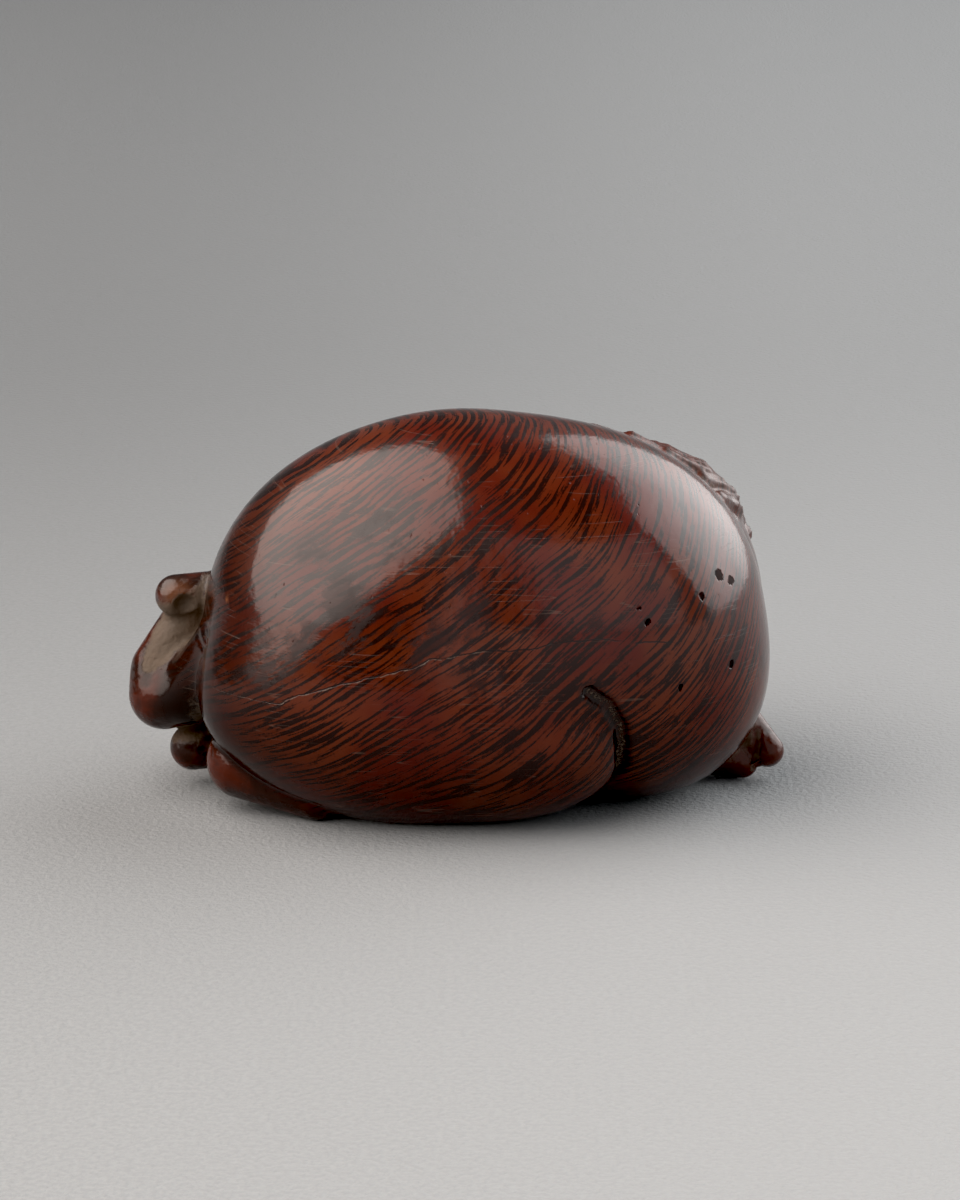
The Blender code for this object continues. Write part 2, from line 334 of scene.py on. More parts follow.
@dataclass(frozen=True)
class Rump:
    """The tail, the bulb under it with a slope above, and the far hock that shows behind."""

    tail: Limb = Limb((-15.0, 1.2, 13.8), (-19.3, 0.2, 13.4), 1.2, 1.42, soft=0.35)
    slope: Limb = Limb((-18.2, 1.6, 12.2), (-20.6, 0.8, 8.2), 1.6, 1.85, soft=0.6)
    bulb: Limb = Limb((-14.0, 0.6, 8.8), (-20.2, 0.0, 6.5), 3.6, 2.4, soft=0.9)
    far_hock: Limb = Limb((-12.0, 4.0, 3.2), (-18.3, 0.6, 2.6), 2.6, 1.6, soft=0.3)
    fold: Limb = Limb((-15.9, -2.9, 11.0), (-18.7, -1.2, 6.9), 1.9, 2.0, soft=0.9)
    fold_steps: int = 6
    tail_hollow: Pit = Pit((-18.6, -1.2, 13.0), 0.8)
    tail_lines: int = 4
    tail_line_width: float = 0.2
    tail_line_depth: float = 0.1

    def masses(self) -> tuple:
        """The masses, in the order in which they melt."""
        return (self.tail, self.slope, self.bulb, self.far_hock, self.fold)

    def fold_balls(self) -> tuple:
        """Balls along the fold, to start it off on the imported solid.

        Returns:
            The middle and the radius of each.
        """
        shares = np.arange(self.fold_steps) / (self.fold_steps - 1)
        middles = along_path(np.array((self.fold.start, self.fold.end)), shares)
        radii = self.fold.start_radius + shares * (self.fold.end_radius - self.fold.start_radius)
        return tuple(zip(middles, radii))

    def cuts(self) -> tuple:
        """Fine lines from the root of the tail over the rump.

        Returns:
            The cuts.
        """
        lines = []
        for index in range(self.tail_lines):
            height = 13.9 - 0.75 * index
            path = ((-17.3, -2.2, height), (-16.4, -3.6, height - 0.5), (-15.3, -4.9, height - 1.2))
            lines.append(Cut(path, self.tail_line_width, self.tail_line_depth))
        return tuple(lines)


@dataclass(frozen=True)
class Forelegs:
    """The near trotter at the shoulder end, the far foreleg under the head, and the folded trotters there."""

    near_leg: Limb = Limb((12.5, 3.2, 3.2), (18.6, 2.0, 1.5), 2.9, 1.45, soft=0.4)
    near_toe: Limb = Limb((18.2, 2.0, 1.5), (19.3, 1.6, 1.1), 1.4, 1.0, soft=0.25)
    outer_toe: Limb = Limb((17.4, 3.8, 5.2), (20.95, 1.7, 2.0), 1.9, 1.15, soft=0.25)
    far_leg: Limb = Limb((13.6, 8.4, 4.2), (4.6, 12.4, 2.2), 3.7, 2.0, soft=0.5)
    toe_split: Cut = Cut(((20.2, 1.0, 3.6), (20.2, 0.9, 2.4), (20.0, 0.9, 1.0)), 0.3, 0.4)
    folded: tuple = (((-8.4, 11.2, 2.0), (4.6, 1.5, -0.9)), ((4.6, 12.4, 2.1), (-4.6, 0.9, -0.9)))
    toe_radii: tuple = (1.35, 0.75)
    toe_spread: float = 0.8

    def masses(self) -> tuple:
        """The masses, in the order in which they melt, with two toes to each folded trotter.

        Returns:
            The limbs.
        """
        toes = []
        for ankle, heading in self.folded:
            ankle, heading = Vector(ankle), Vector(heading)
            across = heading.cross(Vector((0.0, 0.0, 1.0))).normalized() * self.toe_spread
            for side in (-1, 1):
                tip = ankle + heading + across * side * 0.8
                claw = ankle + across * side * 1.6 + heading * 0.12
                toes.append(Limb(tuple(ankle + across * side), tuple(tip), *self.toe_radii, soft=0.25))
                toes.append(Limb(tuple(ankle), tuple(claw), 0.9, 0.55, soft=0.25))
        return (self.near_leg, self.near_toe, self.outer_toe, self.far_leg, *toes)

    def cuts(self) -> tuple:
        """The split between the toes."""
        return (self.toe_split,)


@dataclass(frozen=True)
class Head:
    """The head, which lies along the far flank with its snout to the rump."""

    skull: Limb = Limb((9.0, 8.4, 11.0), (-3.4, 11.0, 6.7), 6.2, 2.6, soft=0.8)
    cheek: Mass = Mass((6.6, 10.9, 7.9), (4.6, 3.9, 4.3), turn=(0.0, 15.0, 0.0), soft=1.2)
    jaw: Limb = Limb((5.0, 10.6, 6.0), (-3.2, 11.5, 4.7), 3.1, 1.6, soft=0.35)
    snout: Mass = Mass((-5.9, 11.5, 6.2), (0.9, 2.75, 2.5), turn=(0.0, 8.0, -14.0), soft=0.4)
    brow: Mass = Mass((3.4, 13.0, 11.6), (2.5, 1.3, 1.0), turn=(0.0, 20.0, -12.0), soft=0.8)
    eyelid: Mass = Mass((2.6, 13.5, 10.0), (1.5, 0.9, 0.8), turn=(0.0, 16.0, -12.0), soft=0.3)
    tusk: Limb = Limb((-1.6, 13.3, 5.3), (-2.2, 14.1, 6.7), 0.6, 0.3, soft=0.25)
    near_ear: Mass = Mass((11.0, 12.65, 14.0), (2.4, 1.0, 4.0), turn=(-10.0, 38.0, -24.0), soft=0.35)
    far_ear: Mass = Mass((8.8, 9.9, 17.0), (1.7, 1.3, 3.4), turn=(-30.0, 62.0, -10.0), soft=0.35)
    mouth: Cut = Cut(((-5.2, 13.4, 5.2), (-1.0, 13.4, 5.4), (3.0, 14.0, 5.9), (5.2, 14.6, 7.0)), 0.4, 0.5)
    lid_line: Cut = Cut(((1.3, 14.4, 10.2), (2.5, 14.5, 9.6), (3.8, 14.4, 9.9)), 0.3, 0.4)
    nostrils: tuple = (Pit((-6.8, 10.5, 6.5), 0.6), Pit((-6.9, 12.4, 6.5), 0.6))
    ear_hollow: Pit = Pit((10.6, 14.0, 13.4), 0.6)
    snout_folds: int = 4
    fold_gap: float = 1.15

    def masses(self) -> tuple:
        """The masses, in the order in which they melt."""
        return (self.skull, self.cheek, self.jaw, self.snout, self.brow, self.eyelid, self.tusk,
                self.near_ear, self.far_ear)

    def cuts(self) -> tuple:
        """The mouth and the closed eye, with folds across the snout and under the eye.

        Returns:
            The cuts.
        """
        lines = [self.mouth, self.lid_line]
        for index in range(self.snout_folds):
            place = -4.4 + self.fold_gap * index
            lines.append(Cut(((place, 13.4, 7.2), (place + 0.3, 12.8, 8.6), (place + 0.5, 11.0, 9.4)), 0.28, 0.16))
        lines.append(Cut(((0.6, 14.3, 9.2), (2.4, 14.5, 8.6), (4.4, 14.5, 8.9)), 0.28, 0.16))
        return tuple(lines)


@dataclass(frozen=True)
class Crest:
    """The crest of bristle locks, from the back over the neck to the poll, with its tips to the rump."""

    path: tuple = (
        (9.6, 3.6, 24.0),
        (12.4, 3.9, 22.6),
        (15.0, 4.4, 20.6),
        (17.2, 5.4, 18.2),
        (17.6, 8.0, 16.4),
        (16.0, 10.4, 16.0),
        (13.2, 11.4, 16.8),
    )
    locks: int = 9
    lock_length: float = 3.2
    lock_radii: tuple = (1.12, 0.5)
    row_spread: float = 0.9
    root_lift: float = -0.5
    tip_lift: float = 0.05
    rim_radius: float = 1.0
    rim_lift: float = -0.3
    sunk: float = 0.7
    sunk_share: float = 0.3
    reach: float = 2.6
    strand_width: float = 0.3
    strand_depth: float = 0.12

    def masses(self, trunk: Trunk) -> tuple:
        """Lay the locks on the trunk in two rows, each tip on the surface, over the lock behind it.

        Args:
            trunk: the body that carries the crest.

        Returns:
            One limb for each lock.
        """
        shares = np.arange(self.locks) / (self.locks - 1)
        places = along_path(np.array(self.path), shares)
        stretch = np.minimum((shares * (len(self.path) - 1)).astype(int), len(self.path) - 2)
        forward = (np.array(self.path)[stretch + 1] - np.array(self.path)[stretch])
        forward /= np.linalg.norm(forward, axis=1)[:, None]
        across = np.cross(forward, places - np.array(trunk.shoulder.centre))
        across *= self.row_spread / np.linalg.norm(across, axis=1)[:, None]
        roots = np.stack([places - across * 0.6, places + across * 0.6], axis=1).reshape(-1, 3)
        tips = places - forward * self.lock_length
        tips = np.stack([tips - across, tips + across], axis=1).reshape(-1, 3)
        body = trunk.masses()
        sunk = self.sunk * (1.0 - smooth_step(shares / self.sunk_share))
        both = np.repeat(sunk, 2)
        roots = settle(roots, lambda points: melted(points, body) - self.root_lift + both)
        tips = settle(tips, lambda points: melted(points, body) - self.tip_lift + both)
        rim = settle(places, lambda points: melted(points, body) - self.rim_lift + sunk)
        wall = [Limb(tuple(a), tuple(b), self.rim_radius, self.rim_radius, soft=0.3) for a, b in zip(rim, rim[1:])]
        locks = [Limb(tuple(root), tuple(tip), *self.lock_radii, soft=0.4) for root, tip in zip(roots, tips)]
        return tuple(wall + locks)

    def nearness(self, points: np.ndarray) -> np.ndarray:
        """1 along the crest, eased to 0 at its reach."""
        return smooth_step((1.0 - path_distance(points, np.array(self.path)) / self.reach) * 2.0)

    def walls(self, points: np.ndarray, normals: np.ndarray, trunk: Trunk) -> np.ndarray:
        """How far each place belongs to the steep sides of the crest, and not to the tops of its locks; the finish
        paints shade on these sides.

        Args:
            points: places on the surface, in millimetres.
            normals: the outward direction at each.
            trunk: the body that carries the crest.

        Returns:
            1 on a side that stands straight up, eased to 0 on a top.
        """
        out = points - np.array(trunk.shoulder.centre)
        out /= np.linalg.norm(out, axis=1)[:, None]
        facing = np.einsum("ni,ni->n", normals, out)
        standing = smooth_step((trunk_distance(points, trunk) - 0.05) / 0.3)
        return standing * (1.0 - smooth_step((facing - 0.55) / 0.35))

    def cuts(self, trunk: Trunk) -> tuple:
        """Fine strand lines along the top of each lock.

        Args:
            trunk: the body that the crest grows from.

        Returns:
            The cuts.
        """
        middle = np.array(trunk.shoulder.centre)
        lines = []
        for lock in self.masses(trunk)[self.locks - 1:]:
            root, tip = np.array(lock.start), np.array(lock.end)
            out = (root - middle) / np.linalg.norm(root - middle)
            across = np.cross(tip - root, out)
            across *= 0.3 / np.linalg.norm(across)
            for side in (-1.0, 1.0):
                start = root + out * lock.start_radius + across * side
                end = tip + out * lock.end_radius + across * side * 0.4
                lines.append(Cut((tuple(start), tuple(end)), self.strand_width, self.strand_depth))
        return tuple(lines)


@dataclass(frozen=True)
class CordChannel:
    """The two holes for the cord in the belly, and the bend that joins them."""

    middle: tuple = (2.6, 2.4)
    radius: float = 1.7
    spacing: float = 8.5
    depth: float = 5.5
    steps: int = 20

    def path(self) -> np.ndarray:
        """The line of the bend: x = -cos(a) s / 2 and z = sin(a)(d + r) - r, for a from 0 to half a turn.

        Returns:
            Its points, one row each.
        """
        angle = np.pi * np.arange(self.steps + 1) / self.steps
        across = self.middle[0] - np.cos(angle) * self.spacing / 2
        height = np.sin(angle) * (self.depth + self.radius) - self.radius
        return np.stack([across, np.full_like(across, self.middle[1]), height], axis=1)


@dataclass
class Carving:
    """The whole figure as one field, in millimetres."""

    trunk: Trunk = field(default_factory=Trunk)
    hind_legs: HindLegs = field(default_factory=HindLegs)
    rump: Rump = field(default_factory=Rump)
    forelegs: Forelegs = field(default_factory=Forelegs)
    head: Head = field(default_factory=Head)
    crest: Crest = field(default_factory=Crest)
    channel: CordChannel = field(default_factory=CordChannel)
    cut_steps: int = 3

    def __post_init__(self) -> None:
        """Collect the masses, and lay each carved line onto their surface."""
        self.masses = (self.trunk.masses() + self.hind_legs.masses() + self.rump.masses() + self.forelegs.masses()
                       + self.head.masses() + self.crest.masses(self.trunk))
        loose = (self.hind_legs.cuts() + self.trunk.cuts() + self.head.cuts() + self.forelegs.cuts()
                 + self.rump.cuts() + self.crest.cuts(self.trunk))
        self.cuts = tuple(self.laid(cut) for cut in loose)
        self.pits = self.head.nostrils + (self.head.ear_hollow, self.rump.tail_hollow)

    def laid(self, cut: Cut) -> Cut:
        """Lay a cut's path onto the uncut surface.

        Args:
            cut: the cut, whose path may stand off the surface.

        Returns:
            The same cut on the surface.
        """
        steps = self.cut_steps * (len(cut.path) - 1)
        path = along_path(np.array(cut.path), np.arange(steps + 1) / steps)
        path = settle(path, self.uncut)
        return Cut(tuple(map(tuple, path)), cut.width, cut.depth)

    def uncut(self, points: np.ndarray) -> np.ndarray:
        """How far points lie outside the melted masses."""
        return melted(points, self.masses)

    def carved(self, points: np.ndarray) -> np.ndarray:
        """The field of the carved figure.

        A cut adds its depth times an eased 1 - d / w, a pit and the cord channel take away what is nearer than their
        radius, and the floor takes away what is below it.

        Args:
            points: places in millimetres, one row each.

        Returns:
            How far each point lies outside, negative inside.
        """
        value = self.uncut(points)
        near = np.abs(value) < 2.0
        for cut in self.cuts:
            path = np.array(cut.path)
            low, high = path.min(axis=0) - cut.width, path.max(axis=0) + cut.width
            at = np.where(near & (points > low).all(axis=1) & (points < high).all(axis=1))[0]
            if len(at):
                value[at] += cut.depth * smooth_step(1.0 - path_distance(points[at], path) / cut.width)
        for pit in self.pits:
            value = np.maximum(value, pit.radius - np.linalg.norm(points - np.array(pit.centre), axis=1))
        value = np.maximum(value, self.channel.radius - path_distance(points, self.channel.path()))
        return np.maximum(value, -points[:, 2])

    def groove_distance(self, points: np.ndarray) -> np.ndarray:
        """How far points lie from the middle of the crescent, measured along the uncut surface.

        Args:
            points: places in millimetres, one row each.

        Returns:
            One distance for each point.
        """
        path = np.array(self.cuts[0].path)
        distance = path_distance(points, path)
        near = np.where(distance < 2.0)[0]
        distance[near] = path_distance(settle(points[near], self.uncut), path)
        return distance

    def body_distance(self, points: np.ndarray) -> np.ndarray:
        """How far points lie off the trunk and the near thigh."""
        return melted(points, self.trunk.masses() + self.hind_legs.masses()[:1] + (self.rump.fold,))

    def hollowness(self, points: np.ndarray, normals: np.ndarray,
                   reaches: tuple = (0.5, 1.0, 2.0, 3.5)) -> np.ndarray:
        """How much each place lies in a hollow: the mean of 1 - f(p + n h) / h over several reaches h.

        Args:
            points: places on the surface, in millimetres.
            normals: the outward direction at each.
            reaches: how far out the field is read.

        Returns:
            0 on an open surface, towards 1 deep in a groove.
        """
        total = np.zeros(len(points))
        for reach in reaches:
            total += np.clip(1.0 - self.uncut(points + normals * reach) / reach, 0.0, 1.0)
        return total / len(reaches)


@dataclass(frozen=True)
class GrowthLayers:
    """The wood's layers: depth = s (a.q + q.B.q / 2) with q = p / s, and two slower directions along them."""

    span: float = 15.0
    rise: tuple = (-0.544, -0.479, 0.689)
    bend: tuple = ((-0.076, -0.239, 0.082), (-0.239, -0.124, 0.247), (0.082, 0.247, -0.096))
    fibre: tuple = (0.722, 0.282, 0.632)
    across: tuple = (0.427, -0.9, -0.086)

    def coordinates(self, points: np.ndarray) -> np.ndarray:
        """The layer depth and the places along and across the fibre, in millimetres.

        Args:
            points: places in millimetres, one row each.

        Returns:
            Three columns: depth, along, across.
        """
        q = points / self.span
        bent = np.einsum("ni,ij,nj->n", q, np.array(self.bend), q) / 2
        depth = self.span * (q @ np.array(self.rise) + bent)
        return np.stack([depth, points @ np.array(self.fibre), points @ np.array(self.across)], axis=1)

    def pace(self, points: np.ndarray, normals: np.ndarray) -> np.ndarray:
        """How fast the layers pass by along the surface: |n x (a + B.q)|, which is small where they lie flat."""
        rise = np.array(self.rise) + points / self.span @ np.array(self.bend)
        return np.linalg.norm(np.cross(normals, rise), axis=1)


@dataclass(frozen=True)
class Crack:
    """The old hairline crack along the flank: its height at places along the boar, and how far it runs."""

    places: tuple = (-12.0, -10.59, -7.55, -3.1, -2.19, 1.34, 3.95, 6.55, 9.11, 16.0)
    heights: tuple = (9.3, 10.05, 11.11, 12.19, 12.64, 13.22, 13.2, 13.78, 13.83, 12.96)
    near_side: float = -6.0

    def signed_height(self, points: np.ndarray) -> np.ndarray:
        """The height above the crack, pushed far off where the crack has ended or on the far side.

        Args:
            points: places in millimetres, one row each.

        Returns:
            Heights in millimetres, negative below the crack.
        """
        above = points[:, 2] - np.interp(points[:, 0], self.places, self.heights)
        beyond = np.maximum(np.maximum(self.places[0] - points[:, 0], points[:, 0] - self.places[-1]), 0.0)
        beyond = np.maximum(beyond, (points[:, 1] - self.near_side) * 0.5)
        return above + np.sign(above + 1e-9) * np.maximum(beyond, 0.0) * 0.2


@dataclass(frozen=True)
class Spots:
    """Round soft spots on the surface, each a place and a radius in millimetres."""

    spots: tuple

    def strength(self, points: np.ndarray) -> np.ndarray:
        """How strong the nearest spot is: 1 at its middle, eased to 0 at its radius.

        Args:
            points: places in millimetres, one row each.

        Returns:
            One strength for each point.
        """
        total = np.zeros(len(points))
        for centre, radius in self.spots:
            away = np.linalg.norm(points - np.array(centre), axis=1)
            total = np.maximum(total, smooth_step(1.0 - away / radius))
        return total


DUSTY_SPOTS = Spots((((-20.07, -0.31, 10.75), 1.9), ((-20.53, -0.6, 9.48), 1.7), ((-19.7, -0.41, 12.18), 2.0),
                     ((-21.0, -0.9, 8.8), 1.1), ((-18.4, -0.6, 4.6), 1.6)))
PITTED_SPOTS = Spots((((17.06, -7.64, 16.88), 0.7), ((17.9, -6.86, 16.33), 0.6), ((15.88, -9.32, 15.89), 0.42),
                      ((12.26, -11.76, 14.78), 0.42), ((11.67, -11.76, 15.73), 0.36), ((17.9, -8.31, 10.95), 0.5),
                      ((14.44, -10.86, 10.03), 0.4)))
WORN_SPOTS = Spots((((-4.94, -10.7, 20.38), 3.0), ((-7.87, -12.19, 16.38), 3.0), ((-7.21, -12.84, 14.87), 3.0),
                    ((-2.64, -13.45, 13.68), 3.2), ((-0.03, -13.32, 13.31), 2.6), ((-10.51, -11.97, 13.61), 2.6),
                    ((-12.52, -11.24, 11.71), 3.0), ((0.62, -12.73, 16.53), 2.6), ((-9.87, -10.0, 18.85), 2.4),
                    ((8.97, -12.66, 14.82), 1.3), ((1.27, -13.66, 10.69), 1.2)))
PALE_SPOTS = Spots((((-19.1, -1.1, 13.7), 1.6), ((-15.51, -6.75, 15.0), 0.32)))


class Graph:
    """A node tree, with short ways to add nodes and join them."""

    def __init__(self, tree: bpy.types.NodeTree) -> None:
        """Work on a node tree that is already there."""
        self.tree = tree
        self.shader = tree.nodes.get("Principled BSDF")

    def put(self, socket: Socket, value: Value) -> None:
        """Join a socket to another socket, or set its own value.

        Args:
            socket: the input.
            value: what goes in, or None to leave it as it is.
        """
        if isinstance(value, bpy.types.NodeSocket):
            self.tree.links.new(value, socket)
        elif value is not None:
            socket.default_value = value

    def attribute(self, mark: Mark) -> bpy.types.Node:
        """The node that reads one of the surface's attributes."""
        node = self.tree.nodes.new("ShaderNodeAttribute")
        node.attribute_name = mark.value
        return node

    def mark(self, mark: Mark) -> Socket:
        """One of the surface's attributes, as a number."""
        return self.attribute(mark).outputs["Fac"]

    def place(self) -> Socket:
        """The place on the object, in millimetres."""
        node = self.tree.nodes.new("ShaderNodeTexCoord")
        return self.vector("MULTIPLY", node.outputs["Object"], (1 / MM,) * 3)

    def vector(self, operation: str, first: Value, second: Value) -> Socket:
        """A vector sum, product or the like.

        Args:
            operation: its name in Blender.
            first: the first vector.
            second: the second vector.

        Returns:
            The vector.
        """
        node = self.tree.nodes.new("ShaderNodeVectorMath")
        node.operation = operation
        self.put(node.inputs[0], first)
        self.put(node.inputs[1], second)
        return node.outputs[0]

    def part(self, vector: Value, axis: str) -> Socket:
        """One of the three numbers of a vector."""
        node = self.tree.nodes.new("ShaderNodeSeparateXYZ")
        self.put(node.inputs[0], vector)
        return node.outputs[axis]

    def maths(self, operation: str, first: Value, second: Value = None, third: Value = None,
              clamp: bool = False) -> Socket:
        """A sum, product or the like of numbers.

        Args:
            operation: its name in Blender.
            first: the first number.
            second: the second number, where there is one.
            third: the third number, where there is one.
            clamp: whether the result is held between 0 and 1.

        Returns:
            The number.
        """
        node = self.tree.nodes.new("ShaderNodeMath")
        node.operation = operation
        node.use_clamp = clamp
        for socket, value in zip(node.inputs, (first, second, third)):
            self.put(socket, value)
        return node.outputs[0]

    def noise(self, place: Value, scale: float, detail: float = 2.0, roughness: float = 0.5) -> Socket:
        """Smooth noise, about 0.5 at its middle.

        Args:
            place: where it is read.
            scale: how many grains it has in one unit of place.
            detail: how many finer noises are added.
            roughness: how strong each is beside the one before.

        Returns:
            The noise.
        """
        node = self.tree.nodes.new("ShaderNodeTexNoise")
        self.put(node.inputs["Vector"], place)
        node.inputs["Scale"].default_value = scale
        node.inputs["Detail"].default_value = detail
        node.inputs["Roughness"].default_value = roughness
        return node.outputs["Fac"]

    def span(self, value: Value, low: float, high: float, start: float = 0.0, end: float = 1.0) -> Socket:
        """Ease from start to end as a value runs from low to high.

        Args:
            value: the value.
            low: the value at the start.
            high: the value at the end.
            start: the result up to low.
            end: the result from high on.

        Returns:
            The result.
        """
        node = self.tree.nodes.new("ShaderNodeMapRange")
        node.interpolation_type = "SMOOTHSTEP"
        self.put(node.inputs["Value"], value)
        for name, number in (("From Min", low), ("From Max", high), ("To Min", start), ("To Max", end)):
            node.inputs[name].default_value = number
        return node.outputs["Result"]

    def mix(self, share: Value, first: Value, second: Value) -> Socket:
        """A colour between two.

        Args:
            share: how much of the second colour it has, from 0 to 1.
            first: the first colour.
            second: the second colour.

        Returns:
            The colour.
        """
        node = self.tree.nodes.new("ShaderNodeMix")
        node.data_type = "RGBA"
        self.put(node.inputs["Factor"], share)
        colours = [socket for socket in node.inputs if socket.type == "RGBA"]
        for socket, value in zip(colours, (first, second)):
            self.put(socket, (*value, 1.0) if isinstance(value, tuple) else value)
        return next(socket for socket in node.outputs if socket.type == "RGBA")

    def rest(self, share: Value) -> Socket:
        """What a share leaves: 1 - s."""
        return self.maths("SUBTRACT", 1.0, share)

    def spread(self, noise: Value, size: float) -> Socket:
        """A noise about nought: s (n - 1/2)."""
        return self.maths("MULTIPLY_ADD", noise, size, -size / 2)

    def line(self, value: Value, width: float) -> Socket:
        """A thin line where a value is nought, fading out at width."""
        return self.rest(self.span(self.maths("ABSOLUTE", value), width * 0.35, width))

    def bump(self, height: Value, distance: float) -> None:
        """Join a height to the shader as bump.

        Args:
            height: the height, from 0 to 1.
            distance: how far 1 stands out, in metres.
        """
        node = self.tree.nodes.new("ShaderNodeBump")
        node.inputs["Distance"].default_value = distance
        self.put(node.inputs["Height"], height)
        self.put(self.shader.inputs["Normal"], node.outputs["Normal"])


def new_material(name: str) -> tuple:
    """A new material of that name, and the graph of its nodes."""
    material = bpy.data.materials.new(name)
    material.use_nodes = True
    return material, Graph(material.node_tree)


@dataclass(frozen=True)
class WaxedWood:
    """Dense red-brown wood with dark streaks along its growth layers, polished by handling.

    Rates are per millimetre. A span is the pair of values between which an effect eases in. A share is how much of
    the colour underneath a layer hides, and a size is the height of a noise from its lowest to its highest.
    """

    red: tuple = (0.074, 0.0055, 0.0014)
    brown: tuple = (0.104, 0.019, 0.0056)
    streak: tuple = (0.012, 0.0024, 0.0014)
    # deep: near-black brown, used for the painted shade low on the body and in the crescent groove, and to darken the
    # rump
    deep: tuple = (0.008, 0.0028, 0.0018)
    quiet: tuple = (0.021, 0.0075, 0.005)
    quiet_red: tuple = (0.062, 0.0115, 0.005)
    dust: tuple = (0.115, 0.083, 0.058)
    pale: tuple = (0.17, 0.06, 0.024)
    crack: tuple = (0.16, 0.11, 0.085)
    # wall: painted shade, the dark brown put on the steep sides of the crest
    wall: tuple = (0.026, 0.019, 0.014)
    pit: tuple = (0.006, 0.003, 0.003)
    layer_rate: float = 4.6
    along_rate: float = 0.26
    across_rate: float = 0.26
    fine_rate: float = 2.1
    fine_share: float = 0.4
    flat_rate: float = 1.9
    wave_rate: float = 2.5
    wave_height: float = 0.06
    drift_rates: tuple = (0.5, 0.12, 0.12)
    drift_turns: float = 3.0
    sway_rate: float = 0.12
    sway_size: float = 0.7
    pace_span: tuple = (0.38, 0.72)
    density_rate: float = 0.09
    density_size: float = 0.16
    pore_rate: float = 5.0
    pore_size: float = 0.14
    dark_span: tuple = (0.475, 0.56)
    low_span: tuple = (0.5, 10.0)
    low_shade: float = 0.5
    rump_span: tuple = (-20.0, -7.0)
    rump_shade: float = 0.9
    warmth_rate: float = 0.12
    warmth_span: tuple = (0.35, 0.65)
    redness_rate: float = 0.45
    redness_span: tuple = (0.42, 0.65)
    shoulder_span: tuple = (8.0, 18.0)
    shoulder_redness: float = 0.2
    hair_rates: tuple = (0.07, 0.07, 2.2)
    hair_width: float = 0.012
    hair_place_rate: float = 0.35
    hair_place_span: tuple = (0.52, 0.62)
    hair_share: float = 0.22
    rub_rates: tuple = (1.3, 0.3, 0.3)
    rub_span: tuple = (0.43, 0.6)
    rub_gain: float = 1.6
    rub_share: float = 0.8
    crack_wander_rate: float = 0.9
    crack_wander_size: float = 0.4
    crack_width: float = 0.07
    crack_break_rate: float = 0.5
    crack_break_span: tuple = (0.36, 0.5)
    crack_share: float = 0.85
    edge_drop: float = 0.07
    edge_width: float = 0.06
    edge_break_rate: float = 1.1
    edge_break_span: tuple = (0.45, 0.6)
    edge_end: tuple = (0.6, 2.2)
    edge_share: float = 0.8
    pale_share: float = 0.9
    wall_shade_share: float = 0.9
    # The painted shade in and beside the crescent groove
    groove_shade_span: tuple = (0.3, 1.0)
    groove_shade_share: float = 0.85
    dusty_gain: float = 1.3
    dust_break_rate: float = 1.8
    dust_break_size: float = 0.9
    dust_span: tuple = (0.28, 0.72)
    dust_free_span: tuple = (1.1, 1.8)
    dust_share: float = 0.85
    sediment_rate: float = 4.0
    sediment_size: float = 0.7
    sediment_span: tuple = (0.04, 0.2)
    chisel_rate: float = 7.0
    chisel_span: tuple = (0.42, 0.6)
    pit_rates: tuple = (2.6, 2.6, 1.1)
    pit_size: float = 1.4
    pit_span: tuple = (0.3, 0.55)
    pit_share: float = 0.9
    polish: float = 0.11
    streak_roughness: float = 0.07
    haze_rate: float = 0.5
    haze_size: float = 0.12
    worn_roughness: float = 0.22
    wall_roughness: float = 0.6
    crest_roughness: float = 0.14
    quiet_roughness: float = 0.08
    dust_roughness: float = 0.62
    crest_dullness: float = 0.6
    handled_span: tuple = (7.0, 16.0)
    shine: float = 0.29
    handled_shine: float = 0.15
    wax: float = 0.06
    handled_wax: float = 0.26
    wax_roughness: float = 0.36
    knife_rate: float = 0.9
    fibre_rates: tuple = (0.9, 0.9, 9.0)
    swell_height: float = 0.5
    crack_depth: float = 0.3
    pit_depth: float = 0.8
    hair_depth: float = 0.08
    fibre_height: float = 0.09
    chisel_grain_rate: float = 3.0
    chisel_height: float = 1.6
    knife_height: float = 2.6
    relief: float = 0.00005

    def streaks(self, graph: Graph, grain: Value, quickening: float) -> Socket:
        """Noise drawn out along the layers, with an even wave across them.

        It is (1 - f) b + f n + h sin(2 pi (w d + t s)): b and n are broad and fine noise, d is the layer depth and s
        a slow drift.

        Args:
            graph: the nodes of the finish.
            grain: the places along the growth layers.
            quickening: how much closer the layers follow each other.

        Returns:
            About 0.5 at its middle.
        """
        rates = (self.layer_rate * quickening, self.along_rate, self.across_rate)
        place = graph.vector("MULTIPLY", grain, rates)
        noise = graph.maths("MULTIPLY", graph.noise(place, 1.0, 1.0, 0.5), 1.0 - self.fine_share)
        noise = graph.maths("MULTIPLY_ADD", graph.noise(place, self.fine_rate, 1.0, 0.5), self.fine_share, noise)
        drift = graph.noise(graph.vector("MULTIPLY", grain, self.drift_rates), 1.0, 2.0)
        turns = graph.maths("MULTIPLY", graph.part(grain, "X"), self.wave_rate * quickening)
        turns = graph.maths("MULTIPLY_ADD", drift, self.drift_turns, turns)
        wave = graph.maths("SINE", graph.maths("MULTIPLY", turns, math.tau))
        return graph.maths("MULTIPLY_ADD", wave, self.wave_height, noise)

